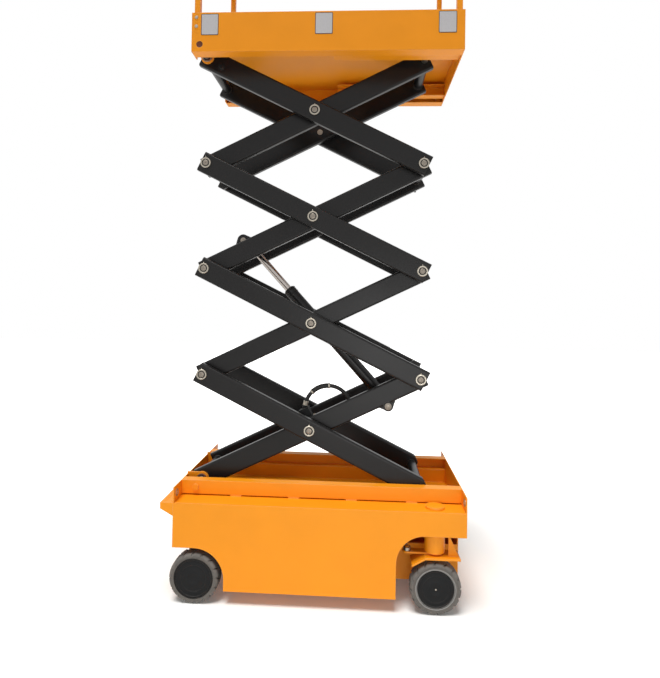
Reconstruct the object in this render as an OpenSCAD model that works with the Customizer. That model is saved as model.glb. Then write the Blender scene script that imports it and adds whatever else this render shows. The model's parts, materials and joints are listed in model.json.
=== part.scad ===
// Small electric scissor lift: four scissor levels on a steered, self-propelled chassis.
// +X is the steered end, +Z is up, and the floor under the wheels is z = 0.

/* [Chassis] */
// Length of the chassis between its two end plates
chassis_l = 1334; // [1334:1:1700]
// How far the entry step stands out behind the chassis
step_d = 60; // [40:1:120]
// Width over the side panels and the wheels
overall_w = 760; // [740:1:920]
// Height of the top of the slide rails
rail_top = 527; // [520:1:600]
// Distance between the outer faces of the two slide rails
rail_span = 542; // [542:1:600]
// Width of a slide rail's flanges
rail_flange = 50; // [46:1:60]
// Height of the flat ledge outside the rails
ledge_z = 457; // [440:1:457]
// Top of the tub floor between the rails
floor_z = 398; // [380:1:410]
// Height of the skirt's lower edge above the floor
skirt_z = 64; // [50:1:100]
// Height of the front wheel opening
front_arch_z = 349; // [335:1:360]
// Sheet thickness of the chassis
sheet_t = 5; // [4:0.5:8]

/* [Wheels] */
// Tyre diameter
wheel_d = 230; // [190:1:280]
// Tyre width
wheel_w = 80; // [60:1:90]
// Hub disc diameter
hub_d = 182; // [120:1:190]
// Distance from the rear end plate to the rear axle
rear_overhang = 101; // [95:1:140]
// Distance from the front end plate to the front axle
front_overhang = 134; // [134:1:180]
// Diameter of the kingpin housing tubes
kingpin_tube_d = 92; // [70:1:94]
// Diameter of the kingpins
kingpin_d = 50; // [36:1:56]
// Diameter of the wheel axles
axle_d = 40; // [30:1:50]

/* [Scissor] */
// Distance between the end pins of an arm
arm_l = 1186; // [980:1:1190]
// Depth of an arm's tube
arm_h = 100; // [80:1:120]
// Width of an arm's tube
arm_t = 40; // [34:1:44]
// Wall of an arm's tube
arm_wall = 5; // [3:0.5:8]
// Outer corner radius of an arm's tube
arm_corner = 10; // [7:0.5:14]
// Length of an arm beyond its end pins
arm_end = 26; // [22:1:40]
// Angle of the arms above level
rest_angle = 26; // [20:0.5:30]
// Diameter of the scissor pins
pin_d = 30; // [20:1:36]
// Diameter of the washers on the pins
washer_d = 51; // [44:1:60]
// Number of scissor levels
levels = 4; // [4]

/* [Lift cylinder] */
// Outer diameter of the barrel
barrel_d = 62; // [50:1:64]
// Diameter of the piston rod
rod_d = 36; // [25:1:45]
// Length of the barrel from its foot pin
barrel_l = 768; // [700:1:770]
// Place of the foot pin along the lowest inner arms
foot_s = 395; // [360:1:420]
// Place of the rod pin along the third inner arms
eye_s = 372; // [350:1:420]
// Distance of both cylinder pins from the arms' middle line
cylinder_offset = 60; // [55:1:75]

/* [Platform] */
// Length of the platform
platform_l = 1265; // [1200:1:1400]
// Width of the platform
platform_w = 710; // [660:1:760]
// Height of the platform's sides
side_h = 184; // [170:1:220]
// Height of the top rail above the deck
guard_h = 1100; // [900:1:1200]
// Side of the guardrail's square tubes
guard_d = 26; // [22:1:36]
// Width of the entry gate between its two stiles
gate_w = 570; // [480:1:580]

/* [Hidden] */
$fn = 48;
eps = 0.01;
// Clearances
running = 0.1;
slide_clear = 0.5;
arm_gap = 8;
side_clear = 6;

// Places along the machine
overall_l = chassis_l + step_d;
front_x = overall_l / 2;
rear_x = -overall_l / 2 + step_d;
half_w = overall_w / 2;
rear_axle_x = rear_x + rear_overhang;
front_axle_x = front_x - front_overhang;
wheel_r = wheel_d / 2;
wheel_in = half_w - wheel_w;
hub_gap = 6;
axle_tip = 22;

// Slide rails and their blocks
rail_y = rail_span / 2;
rail_in = rail_y - rail_flange;
block_wall = 2;
block_short = pin_d / 2 + block_wall;
block_long = 36;
block_l = 72;
base_z = rail_top - sheet_t - slide_clear - block_short;
rail_h = block_short + block_long + 2 * slide_clear + 2 * sheet_t;
rail_bottom = rail_top - rail_h;

// Scissor linkage
pivot_inset = 73;
pivot_x = rear_x + pivot_inset;
half_arm = arm_l / 2;
level_h = arm_l * sin(rest_angle);
centre_x = pivot_x + half_arm * cos(rest_angle);
top_z = base_z + levels * level_h;
outer_y = rail_in - side_clear - arm_t / 2;
inner_y = outer_y - arm_t - arm_gap;
inner_face = inner_y - arm_t / 2;
outer_face = outer_y + arm_t / 2;
bore_r = pin_d / 2 + running;
boss_wall = 7;
boss_r = pin_d / 2 + boss_wall;
spacer = arm_gap - 2 * slide_clear;
washer_t = 5;
tube_inset = 1;
cross_tube_r = arm_end - tube_inset;
lug_t = 8;
arm_flat = arm_h / 2 - arm_corner;

// Lift cylinder
eye_r = 30;
eye_w = barrel_d + 2;
cylinder_pin_r = 16;
lug_in = eye_w / 2 + 1;
foot_pos = [centre_x, 0, base_z + level_h / 2]
    + foot_s * [cos(rest_angle), 0, sin(rest_angle)]
    + cylinder_offset * [sin(rest_angle), 0, -cos(rest_angle)];
eye_pos = [centre_x, 0, base_z + 2.5 * level_h]
    - eye_s * [cos(rest_angle), 0, sin(rest_angle)]
    - cylinder_offset * [sin(rest_angle), 0, -cos(rest_angle)];
cylinder_run = eye_pos - foot_pos;
cylinder_l = norm(cylinder_run);
cylinder_angle = atan2(cylinder_run[2], cylinder_run[0]);

// Steering
fender_z = wheel_d + 15;
fender_t = 8;
kingpin_y = half_w - wheel_w + 18;
kingpin_bottom = fender_z + 2 * fender_t + 2;
steer_arm_l = 125;
steer_arm_w = 40;
tie_rod_r = 6;
tie_pin_r = 8;
tie_eye_r = 17;
tie_eye_h = 14;
tie_z = fender_z + 2 * fender_t + slide_clear + tie_eye_h / 2;

// Platform
deck_clear = 5;
deck_t = 4;
plate_t = 4;
deck_z = top_z + norm([arm_end, arm_h / 2]) + deck_clear + deck_t;
platform_tail = 38;
platform_rear = pivot_x - platform_tail;
platform_front = platform_rear + platform_l;
side_drop = 35;
side_bottom = top_z - side_drop;
side_flange = 60;
half_platform = platform_w / 2;
post_inset = 24;
guard_r = guard_d / 2;
guard_wall = 3;
post_y = half_platform - plate_t - guard_r - 1;
post_x = [platform_rear + post_inset, platform_front - post_inset];
guard_top = deck_z + guard_h;
post_foot = side_bottom + plate_t;
mid_rail_z = (side_bottom + side_h + guard_top) / 2;
stile_r = 14;
gate_gap = 6;
gate_axis_y = post_y - guard_r - gate_gap - stile_r;
gate_bar_low = 40;
gate_head = 40;
gate_low = mid_rail_z - gate_bar_low;
gate_high = guard_top - gate_head;
hinge_pin_r = 8;
latch_h = 50;
latch_t = 8;
latch_y = gate_axis_y - gate_w - stile_r - gate_gap / 2;
latch_l = latch_y + post_y - guard_r + 1;

// Colours
paint = "#f7941d";
arm_paint = "#2b2727";
zinc = "#c9c6bd";
rubber = "#3a3a3b";
chrome = "#d8dadc";
black = "#1c1c1d";
nylon = "#e9e4d6";

// Places a child on both sides of the machine, the second one mirrored
module both_sides() {
    children();
    mirror([0, 1, 0]) children();
}

// Round bar along Y from y0 to y1
module cross_bar(r, y0, y1) {
    translate([0, y0, 0]) rotate([-90, 0, 0]) cylinder(r = r, h = y1 - y0);
}

// Carries a piece from an arm's own frame, centre pin at its origin, to its place in level i
module at_inner(i) {
    translate([centre_x, 0, base_z + (i - 0.5) * level_h]) rotate([0, -rest_angle, 0]) children();
}

module at_outer(i) {
    translate([centre_x, 0, base_z + (i - 0.5) * level_h]) rotate([0, rest_angle, 0]) children();
}

// Chassis

// Floor with pressed ribs along it, and the walls that carry the rails
rib_y = [-130, 0, 130];
rib_w = 70;
rib_top = 40;
rib_h = 12;
module tub() {
    inner_l = chassis_l - 2 * sheet_t;
    color(paint) translate([rear_x + sheet_t, 0, 0]) {
        translate([0, -rail_in - sheet_t, floor_z - sheet_t])
            cube([inner_l, 2 * (rail_in + sheet_t), sheet_t]);
        both_sides() translate([0, rail_in, floor_z - eps])
            cube([inner_l, sheet_t, rail_bottom - floor_z + eps]);
        for (y = rib_y) translate([0, y, floor_z - eps]) rotate([90, 0, 90]) linear_extrude(inner_l)
            polygon([[-rib_w / 2, 0], [rib_w / 2, 0], [rib_top / 2, rib_h], [-rib_top / 2, rib_h]]);
    }
}

// One channel along X, open towards the middle; the pin line is at z = 0
module channel(x0, x1, above, below) {
    translate([x0, 0, 0]) rotate([90, 0, 90]) linear_extrude(x1 - x0) difference() {
        translate([rail_in, -below - sheet_t - slide_clear])
            square([rail_flange, above + below + 2 * (sheet_t + slide_clear)]);
        translate([rail_in - 1, -below - slide_clear])
            square([rail_flange - sheet_t + 1, above + below + 2 * slide_clear]);
    }
}

rail_boss_r = 15;
rail_boss_h = 10;
rail_boss_drop = 8;
module slide_rails() {
    color(paint) both_sides() translate([0, 0, base_z])
        channel(rear_x + sheet_t, front_x - sheet_t, block_short, block_long);
    color(paint) both_sides() translate([pivot_x, rail_y - eps, base_z - rail_boss_drop])
        cross_bar(rail_boss_r, 0, rail_boss_h);
}

// Outline of a side panel in X and Z, with both wheel openings
arch_gap = 24;
rear_arch_r = wheel_r + arch_gap;
rear_arch_edge = rear_axle_x + rear_arch_r;
rear_arch_z = wheel_r + rear_arch_r;
front_arch_back = 178;
front_arch_edge = front_axle_x - front_arch_back;
front_arch_r = 128;
module panel_outline() {
    difference() {
        translate([rear_x, skirt_z]) square([chassis_l, ledge_z - skirt_z]);
        translate([rear_axle_x, wheel_r]) circle(r = rear_arch_r, $fn = 96);
        translate([rear_x - 1, skirt_z - 1])
            square([rear_axle_x - rear_x + 1, rear_arch_z - skirt_z + 1]);
        translate([rear_x, skirt_z - 1])
            square([rear_arch_edge - rear_x, wheel_r - skirt_z + 1]);
        translate([front_arch_edge + front_arch_r, skirt_z - 1])
            square([front_x - front_arch_edge, front_arch_z - skirt_z + 1]);
        translate([front_arch_edge, skirt_z - 1])
            square([front_arch_r + 1, front_arch_z - front_arch_r - skirt_z + 1]);
        translate([front_arch_edge + front_arch_r, front_arch_z - front_arch_r])
            circle(r = front_arch_r, $fn = 96);
    }
}

// Side panel: skirt, ledge and the tabs that hold the rail up off the ledge
tab_w = 52;
tab_x = [-371, -94, 179, 461];
module side_panel() {
    color(paint) {
        translate([0, -half_w + sheet_t, 0]) rotate([90, 0, 0]) linear_extrude(sheet_t)
            panel_outline();
        translate([rear_x + sheet_t, -half_w + sheet_t - eps, ledge_z - sheet_t])
            cube([chassis_l - 2 * sheet_t, half_w - rail_in - 2 * sheet_t + eps, sheet_t]);
        for (x = tab_x)
            translate([x - tab_w / 2, -rail_y, ledge_z - eps])
                cube([tab_w, rail_flange - sheet_t, rail_bottom - ledge_z + eps]);
    }
}

// End plate with a tie-down hole in each upper corner
tie_down_r = 11;
tie_down_inset = 40;
module end_plate(low_z, apron_w, apron_z) {
    rotate([90, 0, 90]) linear_extrude(sheet_t) difference() {
        union() {
            translate([-half_w + sheet_t, low_z])
                square([overall_w - 2 * sheet_t, rail_top - low_z]);
            translate([-half_w, ledge_z]) square([overall_w, rail_top - ledge_z]);
            translate([-apron_w / 2, apron_z]) square([apron_w, low_z - apron_z + eps]);
        }
        for (side = [-1, 1])
            translate([side * (half_w - tie_down_inset), (ledge_z + rail_top) / 2])
                circle(r = tie_down_r);
    }
}

rear_apron_h = 40;
front_apron_w = 340;
front_apron_h = 169;
module rear_end_plate() {
    color(paint) {
        translate([rear_x, 0, 0])
            end_plate(rear_arch_z, 2 * (wheel_in - axle_d), rear_arch_z - rear_apron_h);
        both_sides() base_lug();
    }
}

module front_end_plate() {
    color(paint) translate([front_x - sheet_t, 0, 0]) 
        end_plate(front_arch_z, front_apron_w, front_arch_z - front_apron_h);
}

// Wedge step across the entry end
step_face = 28;
step_root = 60;
module rear_step() {
    color(paint) translate([0, half_w, 0]) rotate([90, 0, 0]) linear_extrude(overall_w)
        polygon([[rear_x, ledge_z], [rear_x - step_d, ledge_z],
            [rear_x - step_d, ledge_z - step_face], [rear_x, ledge_z - step_root]]);
}

// Tray that closes the chassis below, between the wheels, with a nose inside the steered wheels' turn
nose_clear = 6;
nose_half = kingpin_y - norm([wheel_r, kingpin_y - wheel_in]) - nose_clear;
nose_h = fender_z - skirt_z - nose_clear;
module belly_pan() {
    pan_x = [rear_arch_edge, front_arch_edge];
    pan_w = overall_w - 2 * sheet_t;
    nose_l = front_x - sheet_t - pan_x[1] + eps;
    color(paint) {
        translate([pan_x[0], -pan_w / 2, skirt_z])
            cube([pan_x[1] - pan_x[0], pan_w, sheet_t]);
        for (x = [pan_x[0], pan_x[1] - sheet_t])
            translate([x, -rail_in, skirt_z])
                cube([sheet_t, 2 * rail_in, floor_z - sheet_t - skirt_z]);
        translate([pan_x[1] - eps, -nose_half, skirt_z]) difference() {
            cube([nose_l, 2 * nose_half, nose_h]);
            translate([-1, sheet_t, sheet_t])
                cube([nose_l - sheet_t + 1, 2 * (nose_half - sheet_t), nose_h]);
        }
    }
}

// Battery and pump set, as one closed block on the tray
battery_size = [560, 380, 230];
module battery_pack() {
    mid_x = (rear_arch_edge + front_arch_edge) / 2;
    color(black) translate([mid_x - battery_size[0] / 2, -battery_size[1] / 2, skirt_z + sheet_t])
        cube(battery_size);
}

// Beam with a stub for each rear wheel, hung from the tub by two plates
axle_beam = 80;
hanger_y = 150;
hanger_t = 12;
module rear_axle() {
    color(paint) {
        translate([rear_axle_x - axle_beam / 2, hub_gap - wheel_in, wheel_r - axle_beam / 2])
            cube([axle_beam, 2 * (wheel_in - hub_gap), axle_beam]);
        translate([rear_axle_x, 0, wheel_r])
            cross_bar(axle_d / 2, axle_tip - half_w, half_w - axle_tip);
        both_sides() translate([rear_axle_x - axle_beam / 2, hanger_y, wheel_r])
            cube([axle_beam, hanger_t, floor_z - sheet_t - wheel_r]);
    }
}

// Beam under the tub with a kingpin housing at each end
beam_w = 90;
beam_clear = 37;
beam_low = kingpin_bottom + beam_clear;
module front_axle() {
    color(paint) difference() {
        union() {
            translate([front_axle_x - beam_w / 2, -kingpin_y, beam_low])
                cube([beam_w, 2 * kingpin_y, floor_z - sheet_t - beam_low]);
            both_sides() translate([front_axle_x, kingpin_y, kingpin_bottom])
                cylinder(d = kingpin_tube_d, h = ledge_z - sheet_t - kingpin_bottom);
        }
        both_sides() translate([front_axle_x, kingpin_y, kingpin_bottom - 1])
            cylinder(d = kingpin_d + 2 * running, h = ledge_z);
    }
}

cap_h = 9;
module kingpin_caps() {
    color(paint) both_sides() translate([front_axle_x, kingpin_y, ledge_z])
        cylinder(d = kingpin_tube_d - 4, h = cap_h);
}

// Lug on the rear end plate that carries a lowest inner arm
base_lug_r = 34;
base_lug_h = 64;
base_lug_y = inner_y + arm_t / 2 + 1;
module base_lug() {
    difference() {
        union() {
            translate([rear_x + eps, base_lug_y, base_z - base_lug_h / 2])
                cube([pivot_inset, lug_t, base_lug_h]);
            translate([pivot_x, 0, base_z]) cross_bar(base_lug_r, base_lug_y, base_lug_y + lug_t);
        }
        translate([pivot_x, 0, base_z]) cross_bar(bore_r, 0, rail_in);
    }
}

pin_grip = 20;
module base_pins() {
    pin_out = base_lug_y + lug_t;
    color(zinc) both_sides() translate([pivot_x, 0, base_z]) {
        cross_bar(pin_d / 2, inner_face - pin_grip, pin_out + eps);
        cross_bar(washer_d / 2, pin_out, pin_out + washer_t);
    }
}

// Steering

// Fender plate with its rear end bent down, kingpin, inner cheek, axle and steering arm
fender_half = 108;
fender_bend = 47;
fender_drop = 34;
gusset_x = 58;
gusset_y = 22;
gusset_h = 92;
cheek_t = 10;
cheek_w = 100;
cheek_y = kingpin_y - wheel_in + hub_gap;
module knuckle() {
    color(paint) translate([front_axle_x, -kingpin_y, 0]) {
        translate([0, cheek_y + cheek_t, fender_z]) rotate([90, 0, 0])
            linear_extrude(wheel_w + hub_gap + cheek_t)
                polygon([[fender_half, 0], [fender_half, fender_t], [-fender_bend, fender_t],
                    [-fender_half, fender_t - fender_drop], [-fender_half, -fender_drop],
                    [-fender_bend, 0]]);
        translate([0, -gusset_y, fender_z + eps]) rotate([90, 0, 0]) linear_extrude(fender_t)
            polygon([[gusset_x, 0], [fender_half, 0], [gusset_x + fender_t, gusset_h],
                [gusset_x, gusset_h]]);
        translate([0, 0, fender_z + eps])
            cylinder(d = kingpin_d, h = ledge_z - sheet_t - fender_z - 4);
        translate([-cheek_w / 2, cheek_y, wheel_r - cheek_w / 2])
            cube([cheek_w, cheek_t, fender_z - wheel_r + cheek_w / 2 + eps]);
        translate([0, 0, wheel_r])
            cross_bar(axle_d / 2, kingpin_y - half_w + axle_tip, cheek_y + eps);
        translate([-steer_arm_l, -steer_arm_w / 2, fender_z + fender_t - eps])
            cube([steer_arm_l, steer_arm_w, fender_t]);
        translate([-steer_arm_l, 0, fender_z + fender_t - eps]) {
            cylinder(d = steer_arm_w, h = fender_t);
            cylinder(r = tie_pin_r, h = fender_t + tie_eye_h + 4);
        }
    }
}

module right_knuckle() {
    knuckle();
}

module left_knuckle() {
    mirror([0, 1, 0]) knuckle();
}

// Rod that makes both steered wheels turn together, with an eye on each steering arm
module tie_rod() {
    color(zinc) translate([front_axle_x - steer_arm_l, 0, tie_z]) difference() {
        union() {
            cross_bar(tie_rod_r, -kingpin_y, kingpin_y);
            both_sides() translate([0, kingpin_y, -tie_eye_h / 2])
                cylinder(r = tie_eye_r, h = tie_eye_h);
        }
        both_sides() translate([0, kingpin_y, -tie_eye_h])
            cylinder(r = tie_pin_r + running, h = 2 * tie_eye_h);
    }
}

// Wheels, outer face at y = 0 and turning about Y

tyre_bevel = 14;
module tyre() {
    color(rubber) rotate([-90, 0, 0]) rotate_extrude($fn = 96) difference() {
        translate([hub_d / 2, 0]) square([wheel_r - hub_d / 2, wheel_w]);
        for (y = [0, wheel_w])
            translate([wheel_r, y]) rotate(45) square(tyre_bevel, center = true);
    }
}

// Hub: a dished face outside, a blind bore for the axle and a hollow back
hub_dish = 6;
hub_lip = 4;
hub_face = 20;
hub_web = 36;
hub_sleeve = 16;
hub_rim = 12;
module hub() {
    bore = axle_d / 2 + running;
    hollow = axle_d / 2 + hub_sleeve;
    color(black) rotate([-90, 0, 0]) rotate_extrude($fn = 96) difference() {
        square([hub_d / 2, wheel_w]);
        translate([-1, -1]) square([hub_d / 2 - hub_lip + 1, hub_dish + 1]);
        translate([-1, hub_face]) square([bore + 1, wheel_w]);
        translate([hollow, hub_web]) square([hub_d / 2 - hub_rim - hollow, wheel_w]);
    }
}

module on_wheel(x, side) {
    mirror([0, side < 0 ? 0 : 1, 0]) translate([x, -half_w, wheel_r]) children();
}

module rear_right_tyre() { on_wheel(rear_axle_x, -1) tyre(); }
module rear_right_hub() { on_wheel(rear_axle_x, -1) hub(); }
module rear_left_tyre() { on_wheel(rear_axle_x, 1) tyre(); }
module rear_left_hub() { on_wheel(rear_axle_x, 1) hub(); }
module front_right_tyre() { on_wheel(front_axle_x, -1) tyre(); }
module front_right_hub() { on_wheel(front_axle_x, -1) hub(); }
module front_left_tyre() { on_wheel(front_axle_x, 1) tyre(); }
module front_left_hub() { on_wheel(front_axle_x, 1) hub(); }

// Scissor arms

// Rectangle about the origin with round corners
module round_box(w, h, r) {
    square([w - 2 * r, h], center = true);
    square([w, h - 2 * r], center = true);
    for (x = [-1, 1], y = [-1, 1])
        translate([x * (w / 2 - r), y * (h / 2 - r)]) circle(r = r);
}

// One rectangular tube with a boss at each pin, in the arm's own frame at y = 0;
// boss_out is how far the left, centre and right boss stand out of it
module arm(boss_out) {
    pin_x = [-half_arm, 0, half_arm];
    difference() {
        union() {
            rotate([90, 0, 90]) linear_extrude(arm_l + 2 * arm_end, center = true) difference() {
                round_box(arm_t, arm_h, arm_corner);
                round_box(arm_t - 2 * arm_wall, arm_h - 2 * arm_wall, max(arm_corner - arm_wall, 1));
            }
            for (k = [0:2]) translate([pin_x[k], 0, 0])
                cross_bar(boss_r, -arm_t / 2, arm_t / 2 + boss_out[k]);
        }
        for (x = pin_x) translate([x, 0, 0]) cross_bar(bore_r, -arm_t, arm_t);
    }
}

// Sloping cut across the upper corner of an arm's right end, where it runs in a slide rail
end_cut_angle = 54;
end_cut_d = 37;
module end_cut() {
    translate([half_arm, 0, 0]) rotate([0, -end_cut_angle, 0])
        translate([end_cut_d, -arm_t, -arm_h]) cube([arm_h, 2 * arm_t, 2 * arm_h]);
}

module inner_arm_pair(i) {
    color(arm_paint) at_inner(i) both_sides() translate([0, inner_y, 0]) difference() {
        arm([i == 1 ? 0 : spacer, spacer, i == levels ? 0 : spacer]);
        if (i == levels) end_cut();
    }
}

// The lowest and the highest outer pair are tied at the end that no inner pair reaches
module outer_arm_pair(i) {
    tie_x = i == 1 ? half_arm : -half_arm;
    color(arm_paint) at_outer(i) {
        both_sides() translate([0, outer_y, 0]) difference() {
            arm([0, 0, 0]);
            if (i == 1) end_cut();
        }
        if (i == 1 || i == levels) translate([tie_x, 0, 0]) tie_tube(outer_y - arm_t / 2 + eps);
    }
}

module inner_arms_1() { inner_arm_pair(1); }
module inner_arms_2() { inner_arm_pair(2); }
module inner_arms_3() { inner_arm_pair(3); }
module inner_arms_4() { inner_arm_pair(4); }
module outer_arms_1() { outer_arm_pair(1); }
module outer_arms_2() { outer_arm_pair(2); }
module outer_arms_3() { outer_arm_pair(3); }
module outer_arms_4() { outer_arm_pair(4); }

// Stub pin through an outer and an inner arm, with its washer on the outside
module stub_pin(y_in, y_out) {
    cross_bar(pin_d / 2, y_in, y_out + eps);
    cross_bar(washer_d / 2, y_out, y_out + washer_t);
}

// Pin that runs through a cross tube from one outer arm to the other
module through_pin() {
    cross_bar(pin_d / 2, -outer_face, outer_face);
    both_sides() cross_bar(washer_d / 2, outer_face, outer_face + washer_t);
}

// Pins of one outer pair: left end, centre, right end
module pin_set(i) {
    arm_in = outer_y - arm_t / 2;
    color(zinc) at_outer(i) {
        translate([-half_arm, 0, 0]) {
            if (i < levels) through_pin();
            else both_sides() stub_pin(arm_in, outer_face + 1 + lug_t + slide_clear);
        }
        both_sides() stub_pin(inner_face, outer_face);
        translate([half_arm, 0, 0]) {
            if (i > 1) through_pin();
            else both_sides() cross_bar(pin_d / 2, arm_in, rail_y - sheet_t - side_clear);
        }
    }
}

module pins_1() { pin_set(1); }
module pins_2() { pin_set(2); }
module pins_3() { pin_set(3); }
module pins_4() { pin_set(4); }

// Tubes that tie a pair of arms together, on the line of its end pins
module tie_tube(half_length) {
    difference() {
        cross_bar(cross_tube_r, -half_length, half_length);
        cross_bar(bore_r, -half_length - 1, half_length + 1);
    }
}

module inner_ties(i) {
    color(arm_paint) at_inner(i)
        for (x = [-half_arm, half_arm]) translate([x, 0, 0]) tie_tube(inner_face);
}

module cross_tubes_1() { inner_ties(1); }
module cross_tubes_2() { inner_ties(2); }
module cross_tubes_3() { inner_ties(3); }
module cross_tubes_4() { inner_ties(4); }

// Lift cylinder

// Plate beside an inner arm that holds a cylinder pin off the arm's middle line
lug_half = 70;
lug_foot = 4;
module cylinder_lug(s, offset_z, face) {
    side = sign(offset_z);
    translate([s, face - lug_t, 0]) rotate([-90, 0, 0]) linear_extrude(lug_t)
        hull() {
            translate([0, -offset_z]) circle(r = eye_r, $fn = 48);
            translate([-lug_half, -side * arm_h / 4]) square([2 * lug_half, lug_foot]);
        }
}

module cylinder_foot_lugs() {
    color(arm_paint) at_inner(1) {
        both_sides() cylinder_lug(foot_s, -cylinder_offset, inner_face);
        translate([foot_s, 0, -cylinder_offset]) cross_bar(cylinder_pin_r, -inner_face, inner_face);
    }
}

// The eye's lugs stand off the arm on pads, clear of the arms that close beside them
module cylinder_eye_lugs() {
    pad_low = arm_h / 4 - lug_foot;
    face = inner_face - side_clear;
    color(arm_paint) at_inner(3) both_sides() {
        cylinder_lug(-eye_s, cylinder_offset, face);
        translate([-eye_s - lug_half, face - 1, pad_low])
            cube([2 * lug_half, side_clear + 1, arm_flat - pad_low]);
        translate([-eye_s, 0, cylinder_offset]) cross_bar(cylinder_pin_r, lug_in, face);
    }
}

// Carries a piece from the cylinder's own line, foot pin at the origin, to its place
module at_cylinder() {
    translate(foot_pos) rotate([0, -cylinder_angle, 0]) children();
}

rod_clear = 0.5;
bore_start = 36;
gland_l = 36;
gland_r = eye_w / 2;
port_r = 12;
port_h = 8;
module lift_barrel() {
    color(black) at_cylinder() difference() {
        union() {
            cross_bar(eye_r, -eye_w / 2, eye_w / 2);
            rotate([0, 90, 0]) cylinder(d = barrel_d, h = barrel_l - gland_l / 2);
            translate([barrel_l - gland_l, 0, 0]) rotate([0, 90, 0]) cylinder(r = gland_r, h = gland_l);
            translate([bore_start + port_r, 0, 0]) cylinder(r = port_r, h = barrel_d / 2 + port_h);
        }
        cross_bar(cylinder_pin_r + running, -eye_w, eye_w);
        translate([bore_start, 0, 0]) rotate([0, 90, 0])
            cylinder(d = rod_d + 2 * rod_clear, h = barrel_l);
    }
}

rod_inside = 440;
module lift_rod() {
    color(chrome) at_cylinder() {
        translate([barrel_l - rod_inside, 0, 0]) rotate([0, 90, 0])
            cylinder(d = rod_d, h = cylinder_l - barrel_l + rod_inside);
        translate([cylinder_l, 0, 0]) cross_bar(eye_r - 2, -eye_w / 2, eye_w / 2);
    }
}

// Hose that arches from the valve block to the pipe block, inside the near arm of the lowest pair
hose_r = 10;
hose_bend = 117;
hose_centre = [111, 39];
hose_from = -18;
hose_to = 147;
hose_y = -85;
module at_hose() {
    at_inner(1) translate([hose_centre[0], hose_y, hose_centre[1]]) rotate([90, 0, 0]) children();
}

module hydraulic_hose() {
    color(black) at_hose() rotate([0, 0, hose_from]) rotate_extrude(angle = hose_to - hose_from, $fn = 96)
        translate([hose_bend, 0]) circle(r = hose_r, $fn = 24);
}

fitting_r = 14;
fitting_l = 22;
valve_size = [52, 57, 74];
valve_place = [-24, 20];
pipe_block_size = [48, 57, 36];
pipe_block_place = [186, -50];
module hose_fitting(angle, way) {
    rotate([0, 0, angle]) translate([hose_bend, 0, 0]) rotate([-90 * way, 0, 0])
        cylinder(r = fitting_r, h = fitting_l);
}

module valve_block() {
    color(black) {
        at_hose() {
            hose_fitting(hose_to, 1);
            hose_fitting(hose_from, -1);
        }
        at_inner(1) {
            translate([valve_place[0], side_clear - inner_face, valve_place[1]])
                cube(valve_size - [0, side_clear, 0]);
            translate([valve_place[0], -inner_face, valve_place[1]])
                cube([valve_size[0], side_clear + 1, arm_flat - valve_place[1]]);
            translate([pipe_block_place[0], -inner_face, pipe_block_place[1]])
                cube(pipe_block_size);
        }
    }
}

// Slide blocks

module slide_block(above, below) {
    difference() {
        translate([-block_l / 2, rail_in + 2, -below])
            cube([block_l, rail_flange - sheet_t - 3, above + below]);
        cross_bar(bore_r, 0, rail_y);
    }
}

module base_slide_blocks() {
    color(nylon) translate([pivot_x + arm_l * cos(rest_angle), 0, base_z])
        both_sides() slide_block(block_short, block_long);
}

module platform_slide_pins() {
    color(zinc) at_inner(levels) both_sides() translate([half_arm, 0, 0])
        cross_bar(pin_d / 2, inner_face - pin_grip, rail_y - sheet_t - side_clear);
}

module platform_slide_blocks() {
    color(nylon) translate([pivot_x + arm_l * cos(rest_angle), 0, top_z])
        both_sides() slide_block(block_long, block_short);
}

// Platform

module platform_sides() {
    color(paint) both_sides() {
        difference() {
            translate([platform_rear, half_platform - plate_t, side_bottom])
                cube([platform_l, plate_t, side_h]);
            translate([pivot_x, 0, top_z]) cross_bar(pin_d / 2, 0, half_platform + 1);
        }
        translate([platform_rear + plate_t, half_platform - side_flange, side_bottom])
            cube([platform_l - 2 * plate_t, side_flange - plate_t + eps, plate_t]);
    }
}

// End plates; the rear one is open below the deck, where the raised arms swing out
module platform_end() {
    translate([0, -half_platform + plate_t, side_bottom])
        cube([plate_t, platform_w - 2 * plate_t, side_h]);
}

module platform_ends() {
    color(paint) {
        translate([platform_front - plate_t, 0, 0]) platform_end();
        translate([platform_rear, 0, 0]) difference() {
            platform_end();
            translate([-1, -rail_y, side_bottom - 1])
                cube([plate_t + 2, rail_span, deck_z - deck_t - side_bottom + 1]);
        }
    }
}

// Deck plate, cut out at its corners for the guardrail's posts
module deck() {
    inner_w = platform_w - 2 * plate_t;
    color(paint) translate([0, 0, deck_z - deck_t]) linear_extrude(deck_t) difference() {
        translate([platform_rear + plate_t, -inner_w / 2])
            square([platform_l - 2 * plate_t, inner_w]);
        for (x = post_x, side = [-1, 1])
            translate([x, side * post_y]) square(guard_d, center = true);
    }
}

channel_l = 601;
channel_rear = platform_front - plate_t - channel_l;
module platform_channels() {
    color(paint) both_sides() {
        translate([0, 0, top_z]) channel(channel_rear, platform_front - plate_t, block_long, block_short);
        translate([channel_rear, rail_y - sheet_t, top_z + block_long])
            cube([platform_front - plate_t - channel_rear, sheet_t,
                deck_z - deck_t - top_z - block_long]);
    }
}

platform_lug_r = 32;
lug_front = 40;
module platform_lugs() {
    color(paint) both_sides() difference() {
        union() {
            translate([platform_rear + plate_t, outer_face + 1, top_z])
                cube([platform_tail - plate_t + lug_front, lug_t, deck_z - deck_t - top_z]);
            translate([pivot_x, 0, top_z]) 
                cross_bar(platform_lug_r, outer_face + 1, outer_face + 1 + lug_t);
        }
        translate([pivot_x, 0, top_z]) cross_bar(bore_r, outer_y, rail_y);
    }
}

// Guardrail

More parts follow.
